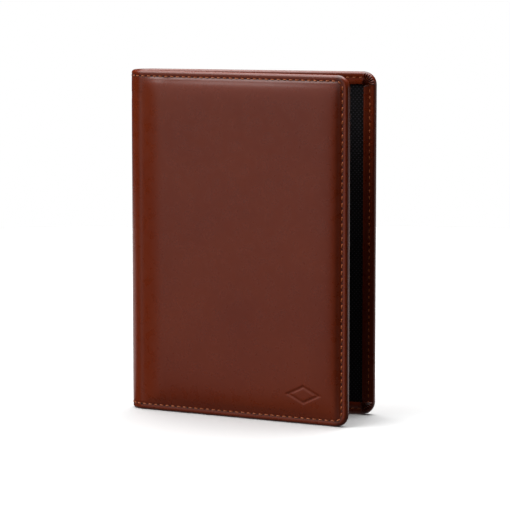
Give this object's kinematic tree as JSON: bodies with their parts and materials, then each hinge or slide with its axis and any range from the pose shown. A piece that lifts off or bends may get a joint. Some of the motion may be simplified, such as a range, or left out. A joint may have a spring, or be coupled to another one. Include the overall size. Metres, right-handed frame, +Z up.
{
  "type": "travel document organizer",
  "caption": "Padded leather folder with a rolled spine, a woven passport sleeve, a boarding pass pocket and stepped card slots, standing slightly open.",
  "frame": {"origin": "middle of the standing organizer's footprint, at the height of its lower edges", "axes": "+Z up along the spine; +X from the spine to the free edges along the back cover; +Y out of the back cover, so the front cover is on the -Y side"},
  "size_m": [0.1053, 0.0382, 0.145],
  "materials": {
    "outer_leather": "smooth polished calf leather, chestnut brown",
    "inner_leather": "smooth calf leather, dark chestnut",
    "woven_lining": "black ribbed nylon",
    "woven_pocket": "black ribbed nylon",
    "foam": "thin closed-cell padding foam",
    "felt": "soft felt interlining",
    "board": "grey bonded board",
    "thread": "waxed orange-tan polyester thread"
  },
  "bodies": {
    "back_cover": {"back_leather": "outer_leather", "back_foam": "foam", "back_board": "board", "back_lining": "woven_lining", "passport_sleeve": "woven_pocket", "sleeve_binding": "inner_leather", "sleeve_stitching": "thread", "back_stitching": "thread"},
    "spine": {"spine_leather": "outer_leather", "spine_interlining": "felt", "spine_lining": "woven_lining", "spine_stitching": "thread"},
    "front_cover": {"front_leather": "outer_leather", "front_foam": "foam", "front_board": "board", "front_lining": "woven_lining", "boarding_pass_pocket": "woven_pocket", "card_slot_1": "inner_leather", "card_slot_2": "inner_leather", "card_slot_3": "inner_leather", "card_slot_4": "inner_leather", "card_stitching": "thread", "front_stitching": "thread"}
  },
  "joints": [
    {"name": "spine_fold", "type": "hinge", "parent": "back_cover", "child": "spine", "pos_m": [-0.05003, 0.01571, 0], "axis": [0, 0, -1], "range_deg": [-6, 84]},
    {"name": "cover_fold", "type": "hinge", "parent": "spine", "child": "front_cover", "pos_m": [-0.05119, 0.0047, 0], "axis": [0, 0, -1], "range_deg": [-6, 84]}
  ],
  "couplings": [
    {"joint": "cover_fold", "follows": "spine_fold", "ratio": 1}
  ]
}
